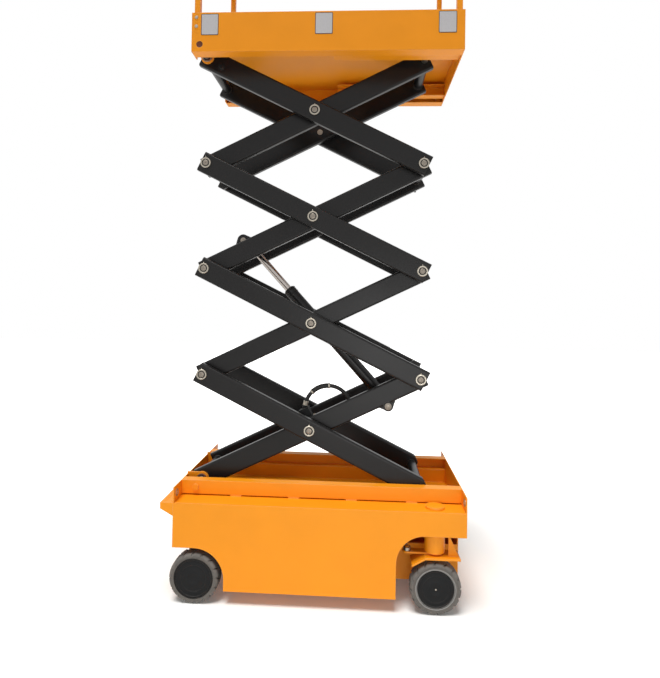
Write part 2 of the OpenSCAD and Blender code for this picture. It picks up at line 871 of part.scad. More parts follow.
// Square tube of the given length along Z, X or Y, centred at the origin
module guard_tube(size, along) {
    turn = along == "x" ? [0, 90, 0] : along == "y" ? [90, 0, 0] : [0, 0, 0];
    rotate(turn) linear_extrude(size, center = true) difference() {
        square(guard_d, center = true);
        square(guard_d - 2 * guard_wall, center = true);
    }
}

module guard_posts() {
    color(paint) {
        both_sides() for (x = post_x)
            translate([x, post_y, (post_foot + guard_top) / 2]) guard_tube(guard_top - post_foot, "z");
        gate_hinges();
        translate([post_x[0] - guard_r, latch_y - latch_l, mid_rail_z - latch_h / 2])
            cube([plate_t, latch_l, latch_h]);
    }
}

module guard_rails() {
    color(paint) for (z = [mid_rail_z, guard_top - guard_r]) {
        both_sides() translate([(post_x[0] + post_x[1]) / 2, post_y, z])
            guard_tube(post_x[1] - post_x[0] - guard_d, "x");
        translate([post_x[1], 0, z]) guard_tube(2 * post_y - guard_d, "y");
    }
}

// Brackets on the rear left post with an upright pin above and below the gate's hinge stile
hinge_t = 10;
hinge_pin_l = 30;
hinge_w = 24;
module gate_hinges() {
    translate([post_x[0], gate_axis_y, 0]) for (up = [0, 1])
        translate([0, 0, up ? gate_high + slide_clear : gate_low - slide_clear - hinge_t]) {
            translate([-hinge_w / 2, -hinge_w / 2, 0])
                cube([hinge_w, post_y - guard_r - gate_axis_y + hinge_w / 2 + eps, hinge_t]);
            translate([0, 0, up ? -hinge_pin_l : 0])
                cylinder(r = hinge_pin_r, h = hinge_pin_l + hinge_t);
        }
}

gate_bar_r = 12;
gate_bar_high = 20;
tongue_root = 4;
module entry_gate() {
    bar_z = [gate_low + gate_bar_low, (gate_low + gate_high) / 2, gate_high - gate_bar_high];
    color(paint) difference() {
        translate([post_x[0], gate_axis_y, 0]) {
            for (y = [0, -gate_w])
                translate([0, y, gate_low]) cylinder(r = stile_r, h = gate_high - gate_low);
            for (z = bar_z) translate([0, 0, z]) cross_bar(gate_bar_r, -gate_w, 0);
            translate([-latch_t / 2, tongue_root - gate_w - stile_r - latch_l, mid_rail_z - latch_h / 2])
                cube([latch_t, stile_r + latch_l - tongue_root, latch_h]);
        }
        translate([post_x[0], gate_axis_y, gate_low - 1])
            cylinder(r = hinge_pin_r + running, h = gate_high - gate_low + 2);
    }
}

// Control box hung inside the front top rail by a hook over the tube
box_size = [110, 200, 170];
box_y = -140;
box_drop = 60;
hook_t = 4;
hook_w = 80;
box_slope = 70;
module control_box() {
    box_front = post_x[1] - guard_r - slide_clear - hook_t;
    box_top = guard_top - box_drop;
    color(black) {
        translate([box_front, box_y + box_size[1] / 2, box_top]) rotate([90, 0, 0])
            linear_extrude(box_size[1]) polygon([[0, 0], [-box_size[0] / 2, 0],
                [-box_size[0], -box_slope], [-box_size[0], -box_size[2]], [0, -box_size[2]]]);
        translate([0, box_y + hook_w / 2, 0]) rotate([90, 0, 0]) linear_extrude(hook_w) {
            translate([box_front - eps, box_top - box_size[2] / 2])
                square([hook_t, box_drop + box_size[2] / 2 + slide_clear + hook_t]);
            translate([box_front, guard_top + slide_clear])
                square([guard_d + 2 * (slide_clear + hook_t), hook_t]);
            translate([post_x[1] + guard_r + slide_clear, guard_top - guard_d])
                square([hook_t, guard_d + slide_clear + hook_t]);
        }
    }
}

tub();
slide_rails();
side_panel();  // right_side_panel
mirror([0, 1, 0]) side_panel();  // left_side_panel
rear_end_plate();
front_end_plate();
rear_step();
belly_pan();
battery_pack();
rear_axle();
front_axle();
kingpin_caps();
base_pins();
right_knuckle();
left_knuckle();
tie_rod();
rear_right_tyre();
rear_right_hub();
rear_left_tyre();
rear_left_hub();
front_right_tyre();
front_right_hub();
front_left_tyre();
front_left_hub();
inner_arms_1();
inner_arms_2();
inner_arms_3();
inner_arms_4();
outer_arms_1();
outer_arms_2();
outer_arms_3();
outer_arms_4();
pins_1();
pins_2();
pins_3();
pins_4();
cross_tubes_1();
cross_tubes_2();
cross_tubes_3();
cross_tubes_4();
cylinder_foot_lugs();
cylinder_eye_lugs();
lift_barrel();
lift_rod();
hydraulic_hose();
valve_block();
base_slide_blocks();
platform_slide_pins();
platform_slide_blocks();
platform_sides();
platform_ends();
deck();
platform_channels();
platform_lugs();
guard_posts();
guard_rails();
entry_gate();
control_box();
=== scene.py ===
"""Finishes and small fittings of a small electric scissor lift, set on its solid model."""

import json

import bmesh
import bpy
import numpy as np
from bpy.props import FloatProperty, FloatVectorProperty, IntProperty, PointerProperty
from bpy.types import Operator, Panel, PropertyGroup
from mathutils import Matrix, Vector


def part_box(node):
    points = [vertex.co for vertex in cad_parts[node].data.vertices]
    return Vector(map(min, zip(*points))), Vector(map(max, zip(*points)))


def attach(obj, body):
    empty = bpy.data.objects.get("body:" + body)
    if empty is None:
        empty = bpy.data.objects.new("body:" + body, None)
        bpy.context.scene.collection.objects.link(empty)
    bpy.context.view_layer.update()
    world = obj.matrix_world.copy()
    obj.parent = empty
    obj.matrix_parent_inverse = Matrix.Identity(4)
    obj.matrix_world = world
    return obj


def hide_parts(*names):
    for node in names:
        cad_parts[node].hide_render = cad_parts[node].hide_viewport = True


bl_info = {
    "name": "Scissor lift finishes",
    "version": (1, 0, 0),
    "blender": (4, 5, 0),
    "location": "3D View > Sidebar > Scissor lift",
    "description": "Paints the lift's solids and adds tyres, pin ends, welds, plates and controls",
    "category": "Object",
}

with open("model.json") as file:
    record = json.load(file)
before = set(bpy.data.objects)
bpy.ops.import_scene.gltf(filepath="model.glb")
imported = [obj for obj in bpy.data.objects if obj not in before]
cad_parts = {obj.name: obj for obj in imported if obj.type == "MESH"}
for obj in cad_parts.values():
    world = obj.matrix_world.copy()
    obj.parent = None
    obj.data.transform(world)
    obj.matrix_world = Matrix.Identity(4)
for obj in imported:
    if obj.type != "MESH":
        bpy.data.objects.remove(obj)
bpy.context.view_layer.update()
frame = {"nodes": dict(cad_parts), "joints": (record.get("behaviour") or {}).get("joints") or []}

MM = 0.001
UP = np.array((0.0, 0.0, 1.0))
SIDES = np.array((-1.0, 1.0))
LEVELS = (1, 2, 3, 4)
WHEELS = ("rear_right", "rear_left", "front_right", "front_left")
JOINTS = {joint["name"]: joint for joint in frame["joints"]}


def linear(code):
    """Linear red, green, blue and alpha of an sRGB hex colour."""
    srgb = np.array([int(code[i : i + 2], 16) for i in (1, 3, 5)]) / 255
    bent = np.where(srgb <= 0.04045, srgb / 12.92, ((srgb + 0.055) / 1.055) ** 2.4)
    return (*bent.tolist(), 1.0)


def length(name, description, millimetres):
    """Property for a length in the scene's unit, with its default given in millimetres."""
    return FloatProperty(
        name=name,
        description=description,
        default=millimetres * MM,
        min=0.0,
        unit="LENGTH",
        subtype="DISTANCE",
    )


def colour(name, description, code):
    """Property for a paint colour, with its default given as sRGB hex."""
    return FloatVectorProperty(
        name=name,
        description=description,
        default=linear(code),
        min=0.0,
        max=1.0,
        size=4,
        subtype="COLOR",
    )


# Places on the solid model


def joint_place(name):
    """Place of a joint at rest, in metres."""
    return np.array(JOINTS[name]["pos_m"])


def corners(node):
    """Lowest and highest corner of a solid at rest, as arrays."""
    low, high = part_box(node)
    return np.array(low), np.array(high)


def unit(vector):
    """A direction as a vector one long."""
    return np.asarray(vector, float) / np.linalg.norm(vector)


def sides(place, face):
    """A place carried to both sides of the lift, a face's distance from its middle plane."""
    return [place * (1, 0, 1) + (0, side * face, 0) for side in SIDES]


def outer_pins(level):
    """Places of the left, centre and right pin of an outer arm pair, in the middle of the lift."""
    left = joint_place(f"left_pin_{level}" if level < 4 else "platform_pivot")
    centre = joint_place(f"centre_pin_{level}")
    return left, centre, 2 * centre - left


def inner_pins(level):
    """Places of the left, centre and right pin of an inner arm pair, in the middle of the lift."""
    left = joint_place(f"left_pin_{level - 1}" if level > 1 else "lift")
    centre = joint_place(f"centre_pin_{level}")
    return left, centre, 2 * centre - left


# Shapes: each is a pair of arrays, points by three and quads by four. Turned shapes take
# millimetres, and all others take metres.


def grid(points, around_rows=False, around_columns=False):
    """Surface through rows and columns of points; a direction that goes around joins its last
    line to its first."""
    rows, columns = points.shape[:2]
    i, j = np.meshgrid(
        np.arange(rows - (not around_rows)),
        np.arange(columns - (not around_columns)),
        indexing="ij",
    )
    k, m = (i + 1) % rows, (j + 1) % columns
    quads = (i * columns + j, k * columns + j, k * columns + m, i * columns + m)
    return points.reshape(-1, 3), np.stack(quads, -1).reshape(-1, 4)


def turned(profile, steps, ring=False):
    """Turned shape: every (radius, height) of the profile goes round Z in equal steps. A ring's
    profile closes on itself, and any other begins and ends on the axis."""
    radius, height = np.asarray(profile, float).T * MM
    angle = np.linspace(0, 2 * np.pi, steps, endpoint=False)[:, None]
    points = (radius * np.cos(angle), radius * np.sin(angle), height + 0 * angle)
    return grid(np.stack(points, -1), True, ring)


def disc(radius, height, edge, steps):
    """Turned disc whose upper rim is eased by edge."""
    rim = ((radius, 0), (radius, height - edge), (radius - edge, height))
    return turned(((0, 0), *rim, (0, height)), steps)


def washer(inner, outer, height, edge, steps):
    """Turned ring of rectangular section, both upper rims eased by edge."""
    wall = ((inner, 0), (outer, 0), (outer, height - edge), (outer - edge, height))
    return turned((*wall, (inner + edge, height), (inner, height - edge)), steps, True)


def bead_ring(radius, bead, steps, ripples=0):
    """Ring of round section: a circle of the bead's radius at the given radius, swelling and
    shrinking by an eighth for each ripple of a weld."""
    a = np.linspace(0, 2 * np.pi, 8, endpoint=False)
    angle = np.linspace(0, 2 * np.pi, steps, endpoint=False)[:, None]
    swell = bead * (1 + 0.12 * np.cos(ripples * angle))
    reach = radius + swell * np.cos(a)
    points = (reach * np.cos(angle), reach * np.sin(angle), swell * np.sin(a))
    return grid(np.stack(points, -1), True, True)


def rounded(width, height, radius, arc=5):
    """Outline of a rectangle about the origin whose corners are quarter circles."""
    angle = np.arange(4)[:, None] * np.pi / 2 + np.linspace(0, np.pi / 2, arc)
    side = np.array(((1, 1), (-1, 1), (-1, -1), (1, -1)))[:, None]
    middle = side * (np.array((width, height)) / 2 - radius)
    arcs = middle + radius * np.stack((np.cos(angle), np.sin(angle)), -1)
    return arcs.reshape(-1, 2)


def plate(outline, height, edge):
    """Plate: an outline raised from zero to height, eased by edge at its upper rim, and drawn in
    to its middle on both faces."""
    half = np.abs(outline).max(0)
    shrink = (np.zeros(2), np.ones(2), np.ones(2), 1 - edge / half, np.zeros(2))
    level = (0, 0, height - edge, height, height)
    points = [
        np.column_stack((outline * s, np.full(len(outline), z))) for s, z in zip(shrink, level)
    ]
    return grid(np.stack(points), False, True)


def swept(path, radius, around):
    """Round bar along a path: circles square to the path, of a radius that may change along it,
    drawn in to a point at both ends."""
    along = np.gradient(path, axis=0)
    along /= np.linalg.norm(along, axis=1, keepdims=True)
    helper = np.eye(3)[np.abs(along).max(0).argmin()]
    across = np.cross(along, helper)
    across /= np.linalg.norm(across, axis=1, keepdims=True)
    third = np.cross(along, across)
    a = np.linspace(0, 2 * np.pi, around, endpoint=False)[:, None]
    reach = np.broadcast_to(radius, len(path))[:, None, None]
    circle = across[:, None] * np.cos(a) + third[:, None] * np.sin(a)
    ends = [np.repeat(p[None, None], around, 1) for p in (path[0], path[-1])]
    return grid(np.concatenate((ends[0], path[:, None] + reach * circle, ends[1])), False, True)


def weld_line(start, end, radius):
    """Straight weld bead: a bar drawn from start to end whose radius swells at every ripple."""
    ripples = max(3, int(np.linalg.norm(end - start) / (6 * MM)))
    share = np.linspace(0, 1, 4 * ripples + 1)[:, None]
    swell = radius * (1 + 0.14 * np.cos(2 * np.pi * ripples * share[:, 0]))
    return swept(start + share * (end - start), swell, 8)


def turn_to(axis, spin=0.0):
    """Rotation that carries Z to the axis and keeps Y as upright as it can be, after a spin."""
    z = unit(axis)
    x = unit(np.cross((0, 0, 1) if abs(z[2]) < 0.9 else (0, 1, 0), z))
    c, s = np.cos(spin), np.sin(spin)
    return np.stack((x, np.cross(z, x), z), 1) @ np.array(((c, -s, 0), (s, c, 0), (0, 0, 1)))


def stamped(shape, origins, axis=UP, spin=0.0):
    """Copies of a shape, its Z turned to the axis, one at each origin."""
    points, quads = shape
    origins = np.atleast_2d(origins)
    moved = origins[:, None] + points @ turn_to(axis, spin).T
    first = np.arange(len(origins))[:, None, None] * len(points)
    return moved.reshape(-1, 3), (quads + first).reshape(-1, 4)


def joined(*shapes):
    """Several shapes as one."""
    first = np.cumsum([0] + [len(points) for points, _ in shapes[:-1]])
    quads = [q + start for (_, q), start in zip(shapes, first)]
    return np.concatenate([p for p, _ in shapes]), np.concatenate(quads)


def outward(shape, spots):
    """Copies of a shape on the lift's two sides, each with its Z turned away from the middle."""
    return joined(*[stamped(shape, spot, (0, np.sign(spot[1]), 0)) for spot in spots])


def tread_bars(sizes, left, right):
    """Raised bars of tread plate: flat lozenges at two sets of spots, which lean by half a right
    angle to the one side and to the other."""
    long, wide = sizes.tread_bar / 2, 4 * MM
    lozenge = np.array(((long, 0), (0, wide), (-long, 0), (0, -wide)))
    raised = plate(lozenge, 1.4 * MM, 0.9 * MM)
    lean = np.pi / 4
    return joined(stamped(raised, left, UP, lean), stamped(raised, right, UP, -lean))


def piece(name, shape, material, body, crease=35):
    """New object at the origin from one shape: doubles merged, faces turned outwards, smooth up
    to the crease angle in degrees, riding on its body."""
    points, quads = shape
    mesh = bpy.data.meshes.new(name)
    mesh.from_pydata(points.tolist(), [], quads.tolist())
    work = bmesh.new()
    work.from_mesh(mesh)
    bmesh.ops.remove_doubles(work, verts=work.verts, dist=1e-6)
    bmesh.ops.recalc_face_normals(work, faces=work.faces)
    work.to_mesh(mesh)
    work.free()
    mesh.polygons.foreach_set("use_smooth", [True] * len(mesh.polygons))
    mesh.set_sharp_from_angle(angle=np.radians(crease))
    mesh.materials.append(material)
    thing = bpy.data.objects.new(name, mesh)
    bpy.context.scene.collection.objects.link(thing)
    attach(thing, body)
    return thing


def finish(material, *nodes):
    """Gives solids of the model their finish."""
    for node in nodes:
        for slot in frame["nodes"][node].material_slots:
            slot.material = material


# Materials


def wire(tree, node, inputs):
    """Fills a node's inputs: each is either a value or the output that feeds it."""
    for key, value in inputs.items():
        if isinstance(value, bpy.types.NodeSocket):
            tree.links.new(value, node.inputs[key])
        else:
            node.inputs[key].default_value = value
    return node


def add(tree, kind, inputs=None, **settings):
    """Adds one shader node with its own options and its inputs."""
    node = tree.nodes.new("ShaderNode" + kind)
    for key, value in settings.items():
        setattr(node, key, value)
    return wire(tree, node, inputs or {})


def shaded(name, **sockets):
    """New material with its Principled shader's plain values set; returns it with its tree, the
    shader and the Object coordinates."""
    material = bpy.data.materials.new(name)
    material.use_nodes = True
    tree = material.node_tree
    shader = tree.nodes["Principled BSDF"]
    wire(tree, shader, {key.replace("_", " "): value for key, value in sockets.items()})
    return material, tree, shader, add(tree, "TexCoord").outputs["Object"]


def once(make):
    """Lets a material be made when its name is first asked for, and found after that."""

    def find(name, *values):
        return bpy.data.materials.get(name) or make(name, *values)

    return find


def scaled(code, factor):
    """A linear colour made lighter or darker."""
    return (*[min(1.0, c * factor) for c in code[:3]], 1.0)


@once
def coated(name, code, roughness, peel, peel_height, edge_radius, edge_highlight, specular):
    """Sprayed and baked coat on steel: the eye sees an even colour with a slight cloud over a
    hand's width, the fine dimples of orange peel in its gloss, and softer edges painted paler
    as a highlight, as a rounded bend would catch the light."""
    material, tree, shader, place = shaded(name, Specular_IOR_Level=specular)
    cloud = add(tree, "TexNoise", {"Vector": place, "Scale": 1 / (160 * MM), "Detail": 3.0})
    drift = cloud.outputs["Fac"]
    body = add(
        tree, "Mix", {0: drift, 6: scaled(code, 0.93), 7: scaled(code, 1.05)}, data_type="RGBA"
    )
    soft = add(tree, "Bevel", {"Radius": edge_radius}, samples=4)
    flat = add(tree, "NewGeometry")
    bend = add(
        tree,
        "VectorMath",
        {0: soft.outputs["Normal"], 1: flat.outputs["Normal"]},
        operation="DOT_PRODUCT",
    )
    # Painted highlight: where the bevelled normal turns from the face's own, the colour is mixed
    # towards a pale tone, as a rounded edge would catch the light.
    rim = add(
        tree,
        "MapRange",
        {
            "Value": bend.outputs["Value"],
            "From Min": 0.98,
            "From Max": 0.80,
            "To Min": 0.0,
            "To Max": edge_highlight,
        },
    )
    with_highlight = add(
        tree,
        "Mix",
        {0: rim.outputs["Result"], 6: body.outputs[2], 7: linear("#FFE9CF")},
        data_type="RGBA",
    )
    dimples = add(tree, "TexNoise", {"Vector": place, "Scale": 1 / peel, "Detail": 1.0})
    bump = add(
        tree,
        "Bump",
        {
            "Height": dimples.outputs["Fac"],
            "Normal": soft.outputs["Normal"],
            "Strength": 0.5,
            "Distance": peel_height,
        },
    )
    gloss = add(
        tree,
        "MapRange",
        {"Value": drift, "To Min": roughness - 0.05, "To Max": roughness + 0.05},
    )
    wire(
        tree,
        shader,
        {
            "Base Color": with_highlight.outputs[2],
            "Roughness": gloss.outputs["Result"],
            "Normal": bump.outputs["Normal"],
        },
    )
    return material


def powder_coat(context):
    """Orange powder coat on steel sheet, half gloss."""
    code = context.scene.lift_colours.body
    return coated("powder_coat_orange", code, 0.42, 3.0 * MM, 0.10 * MM, 2.5 * MM, 0.25, 0.3)


def arm_enamel(context):
    """Charcoal enamel on steel tube, a little glossier than the sheet."""
    code = context.scene.lift_colours.arms
    return coated("enamel_charcoal", code, 0.30, 4.0 * MM, 0.12 * MM, 6.0 * MM, 0.06, 0.25)


def hub_paint(context):
    """Matt black paint on the cast wheel hubs."""
    code = context.scene.lift_colours.hubs
    return coated("paint_matt_black", code, 0.6, 2.0 * MM, 0.08 * MM, 1.5 * MM, 0.08, 0.2)


def rim_paint(context):
    """Grey enamel on the steel rims of the front wheels."""
    code = context.scene.lift_colours.rims
    return coated("enamel_grey", code, 0.45, 2.0 * MM, 0.08 * MM, 1.5 * MM, 0.08, 0.3)


@once
def metal(name, code, flake, smooth, dull):
    """Plain steel: a slightly warm metal whose sheen breaks up between smooth and dull in flakes
    a few millimetres wide, with fine machining marks."""
    material, tree, shader, place = shaded(name, Metallic=1.0)
    flakes = add(tree, "TexVoronoi", {"Vector": place, "Scale": 1 / flake}).outputs["Distance"]
    tint = add(
        tree, "Mix", {0: flakes, 6: scaled(code, 1.08), 7: scaled(code, 0.8)}, data_type="RGBA"
    )
    sheen = add(tree, "MapRange", {"Value": flakes, "To Min": smooth, "To Max": dull})
    marks = add(tree, "TexNoise", {"Vector": place, "Scale": 1 / (1.5 * MM), "Detail": 2.0})
    bump = add(
        tree,
        "Bump",
        {"Height": marks.outputs["Fac"], "Strength": 0.3, "Distance": 0.05 * MM},
    )
    wire(
        tree,
        shader,
        {
            "Base Color": tint.outputs[2],
            "Roughness": sheen.outputs["Result"],
            "Normal": bump.outputs["Normal"],
        },
    )
    return material


def zinc_plate(context):
    """Zinc-plated steel: pale, with the plating's flakes in its sheen."""
    return metal("zinc_plated_steel", context.scene.lift_colours.zinc, 4 * MM, 0.28, 0.46)


def bare_steel(context):
    """Bare steel of the pins, darkened by oil and handling."""
    return metal("steel_bare", context.scene.lift_colours.steel, 6 * MM, 0.35, 0.55)


@once
def ground(name, code):
    """Ground and plated rod: a mirror a little blurred by the grinding marks round it."""
    material, tree, shader, place = shaded(name, Metallic=1.0, Base_Color=code)
    marks = add(tree, "TexNoise", {"Vector": place, "Scale": 1 / (6 * MM), "Detail": 4.0})
    blur = add(
        tree, "MapRange", {"Value": marks.outputs["Fac"], "To Min": 0.08, "To Max": 0.2}
    )
    wire(tree, shader, {"Roughness": blur.outputs["Result"]})
    return material


def hard_chrome(context):
    """Hard chrome of the cylinder's rod."""
    return ground("hard_chrome", context.scene.lift_colours.rod)


@once
def rubber(name, code, roughness, dust):
    """Moulded rubber: a dull colour with a fine pore, paler where dust has settled in patches a
    few centimetres wide."""
    material, tree, shader, place = shaded(
        name, Roughness=roughness, Specular_IOR_Level=0.35
    )
    patches = add(
        tree,
        "TexNoise",
        {"Vector": place, "Scale": 1 / (35 * MM), "Detail": 5.0, "Roughness": 0.65},
    )
    settled = add(
        tree,
        "MapRange",
        {"Value": patches.outputs["Fac"], "From Min": 0.35, "From Max": 0.75, "To Max": dust},
    )
    tint = add(
        tree,
        "Mix",
        {0: settled.outputs["Result"], 6: code, 7: linear("#8A8178")},
        data_type="RGBA",
    )
    pores = add(tree, "TexNoise", {"Vector": place, "Scale": 1 / (1.8 * MM), "Detail": 2.0})
    bump = add(
        tree,
        "Bump",
        {"Height": pores.outputs["Fac"], "Strength": 0.5, "Distance": 0.2 * MM},
    )
    wire(tree, shader, {"Base Color": tint.outputs[2], "Normal": bump.outputs["Normal"]})
    return material


def tyre_rubber(context):
    """Solid grey-black tyre, dusty from the floor."""
    return rubber("rubber_tyre", context.scene.lift_colours.tyres, 0.85, 0.35)


def hose_rubber(context):
    """Black hose and seal rubber, clean; also the dark discs painted as shade in the pin ends."""
    return rubber("rubber_black", context.scene.lift_colours.hose, 0.55, 0.05)


def brown_rubber(context):
    """Red-brown rubber of the hole plugs."""
    return rubber("rubber_brown", context.scene.lift_colours.plugs, 0.6, 0.05)


@once
def moulded(name, code, roughness, grain):
    """Moulded plastic: an even colour with the fine leather-like grain of its mould."""
    material, tree, shader, place = shaded(name, IOR=1.5)
    pebble = add(tree, "TexVoronoi", {"Vector": place, "Scale": 1 / grain}).outputs["Distance"]
    tint = add(
        tree, "Mix", {0: pebble, 6: scaled(code, 1.05), 7: scaled(code, 0.88)}, data_type="RGBA"
    )
    sheen = add(
        tree, "MapRange", {"Value": pebble, "To Min": roughness, "To Max": roughness + 0.15}
    )
    bump = add(tree, "Bump", {"Height": pebble, "Strength": 0.3, "Distance": 0.1 * MM})
    wire(
        tree,
        shader,
        {
            "Base Color": tint.outputs[2],
            "Roughness": sheen.outputs["Result"],
            "Normal": bump.outputs["Normal"],
        },
    )
    return material


def abs_black(context):
    """Black ABS of the control box and caps."""
    return moulded("abs_black", linear("#1E1F21"), 0.45, 1.6 * MM)


def nylon(context):
    """Natural cast nylon of the slide blocks."""
    return moulded("nylon_natural", linear("#E4DECB"), 0.4, 6.0 * MM)


def vinyl(context):
    """Blank plate of satin vinyl, pale grey."""
    return moulded("vinyl_grey", context.scene.lift_colours.plates, 0.35, 3.0 * MM)


def dark_vinyl(context):
    """Thin dark edge of the blank plates."""
    return moulded("vinyl_dark", linear("#3A3026"), 0.45, 3.0 * MM)


def red_plastic(context):
    """Red mushroom of the stop button."""
    return moulded("polycarbonate_red", linear("#B5201B"), 0.25, 4.0 * MM)


def yellow_plastic(context):
    """Yellow collar of the stop button."""
    return moulded("polycarbonate_yellow", linear("#E8B41A"), 0.3, 4.0 * MM)


# User settings


class LiftSizes(PropertyGroup):
    """Sizes of the fittings that the solids leave out"""

    tread_count: IntProperty(
        name="Tread lugs", description="Lugs round a tyre", default=16, min=8
    )
    tread_depth: length("Tread depth", "Depth of the grooves between the lugs", 5)
    tyre_shoulder: length("Tyre shoulder", "Rounding of the tyre's outer edges", 13)
    hub_lip: length("Hub lip", "Width of the lip round a hub's face", 4)
    rim_ring: length("Rim ring", "Width of the grey rim round a front hub's cover", 5)
    rail_tube: length("Rail tube", "Side of the guardrail's square tubes", 26)
    pin_ring: length("Pin ring width", "Width of the raised ring on a pin's end", 7)
    pin_core: length("Pin core", "Diameter of the bright core of a pin's end", 27)
    weld: length("Weld", "Radius of a weld bead", 4)
    plate_width: length("Blank plate", "Side of a blank plate on the platform", 82)
    tread_pitch: length("Tread plate pitch", "Spacing of the deck's raised bars", 32)
    tread_bar: length("Tread plate bar", "Length of one raised bar", 27)


class LiftColours(PropertyGroup):
    """Colours of the lift's paints and materials"""

    body: colour("Body", "Powder coat of chassis, platform and guardrail", "#F49712")
    arms: colour("Arms", "Enamel of the scissor arms", "#1B1A1A")
    hubs: colour("Hubs", "Paint of the wheel hubs", "#161718")
    rims: colour("Rims", "Paint of the front wheels' rims", "#8F8D8A")
    tyres: colour("Tyres", "Rubber of the tyres", "#65625E")
    hose: colour("Hose", "Rubber of the hose and seals", "#191919")
    plugs: colour("Hole plugs", "Rubber of the platform's hole plugs", "#5E2A12")
    zinc: colour("Zinc", "Plating of pin rings, washers and screws", "#B0A99C")
    steel: colour("Steel", "Bare steel of the pins' cores", "#8B8379")
    rod: colour("Rod", "Chrome of the cylinder's rod", "#B4ACA6")
    plates: colour("Blank plates", "Face of the blank plates", "#C2C0C2")
    floor: colour("Floor", "Studio floor", "#F4F3F0")


class LiftStage(PropertyGroup):
    """Camera and light"""

    sky: FloatProperty(
        name="Sky", description="Strength of the even light", default=0.26, min=0.0
    )
    key: FloatProperty(
        name="Key", description="Strength of the soft light from above", default=2.9, min=0.0
    )
    fill: FloatProperty(
        name="Fill", description="Low front light", default=3.0, min=0.0, unit="POWER"
    )
    lens: FloatProperty(
        name="Lens", description="Focal length in millimetres", default=29.231, min=1.0
    )


# Operators


class LIFT_OT_paint(Operator):
    """Gives every solid of the model its finish"""

    bl_idname = "lift.paint"
    bl_label = "Finishes of the solids"

    def execute(self, context):
        finish(
            powder_coat(context),
            "tub", "slide_rails", "right_side_panel", "left_side_panel", "rear_end_plate",
            "front_end_plate", "rear_step", "belly_pan", "rear_axle", "front_axle",
            "kingpin_caps", "right_knuckle", "left_knuckle", "platform_sides",
            "platform_ends", "deck", "platform_channels", "platform_lugs", "guard_posts",
            "guard_rails", "entry_gate",
        )
        finish(
            arm_enamel(context),
            *[f"inner_arms_{i}" for i in LEVELS],
            *[f"outer_arms_{i}" for i in LEVELS],
            *[f"cross_tubes_{i}" for i in LEVELS],
            "cylinder_foot_lugs", "cylinder_eye_lugs", "lift_barrel",
        )
        finish(
            zinc_plate(context),
            *[f"pins_{i}" for i in LEVELS],
            "base_pins", "tie_rod", "platform_slide_pins",
        )
        finish(hub_paint(context), "rear_right_hub", "rear_left_hub", "valve_block")
        finish(rim_paint(context), "front_right_hub", "front_left_hub")
        finish(hard_chrome(context), "lift_rod")
        finish(hose_rubber(context), "hydraulic_hose")
        finish(nylon(context), "base_slide_blocks", "platform_slide_blocks")
        finish(abs_black(context), "control_box", "battery_pack")
        return {"FINISHED"}


def tyre_section(width, radius, bore, shoulder):
    """Closed section of a tyre as (along the axle, radius): a flat tread with a slight crown, two
    quarter-round shoulders, sidewalls with a raised rib, and the bore."""
    half = width / 2
    crown = 1.5 * MM
    tread = np.linspace(shoulder - half, half - shoulder, 15)
    top = np.column_stack((tread, radius - crown * (tread / half) ** 2))
    arc = np.linspace(0, np.pi / 2, 8)[1:]
    edge = radius - crown * ((half - shoulder) / half) ** 2 - shoulder
    corner = np.column_stack(
        (half - shoulder + shoulder * np.sin(arc), edge + shoulder * np.cos(arc))
    )
    wall_radius = np.linspace(edge, bore, 12)[1:]
    rib = 1.6 * MM * np.exp(-(((wall_radius - bore - 7 * MM) / (2.2 * MM)) ** 2))
    wall = np.column_stack((half - 1.8 * MM + rib, wall_radius))
    right = np.concatenate((corner, wall))
    return np.concatenate((top, right, right[::-1] * (-1, 1)))


def tyre_shape(sizes, width, radius, bore):
    """Tyre: its section goes round the axle in lugs. Between two lugs the section's outer part is
    drawn in by the tread depth, and the rows lean with the distance from the middle, so that the
    grooves make arrows."""
    y, r = tyre_section(width, radius, bore, sizes.tyre_shoulder).T
    share = np.array((0, 0.12, 0.24, 0.36, 0.48, 0.60, 0.70, 0.73, 0.79, 0.85, 0.91, 0.94))
    sunk = np.array((0, 0, 0, 0, 0, 0, 0, 1, 1, 1, 1, 0))[:, None]
    pitch = 2 * np.pi / sizes.tread_count
    start = np.arange(sizes.tread_count)[:, None] * pitch + share * pitch
    lean = 0.35 * pitch * np.clip(np.abs(y) / (width / 2), 0, 1)
    angle = start.reshape(-1, 1) + lean
    side = np.clip((np.abs(y) - 4 * MM) / (6 * MM), 0, 1)
    high = np.clip((r - (radius - 12 * MM)) / (6 * MM), 0, 1)
    depth = sizes.tread_depth * side * high * np.tile(sunk, (sizes.tread_count, 1))
    across = np.clip((np.abs(y) - width / 2 + 12 * MM) / (12 * MM), 0, 1)
    reach = r - depth * (1 - 0.3 * across)
    along = y - np.sign(y) * depth * 0.6 * across
    points = (reach * np.cos(angle), reach * np.sin(angle), along)
    return grid(np.stack(points, -1), True, True)


class LIFT_OT_tyres(Operator):
    """Moulds the four solid tyres with their tread, in place of the plain ones"""

    bl_idname = "lift.tyres"
    bl_label = "Tyres"

    def execute(self, context):
        sizes = context.scene.lift_sizes
        for wheel in WHEELS:
            low, high = corners(f"{wheel}_tyre")
            middle = (low + high) / 2
            radius = (high[2] - low[2]) / 2
            hub_low, hub_high = corners(f"{wheel}_hub")
            bore = (hub_high[2] - hub_low[2]) / 2 - 0.5 * MM
            shape = tyre_shape(sizes, high[1] - low[1], radius, bore)
            tyre = piece(
                f"{wheel}_tread",
                outward(shape, [middle]),
                tyre_rubber(context),
                f"{wheel}_wheel",
                30,
            )
            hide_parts(f"{wheel}_tyre")
        return {"FINISHED"}


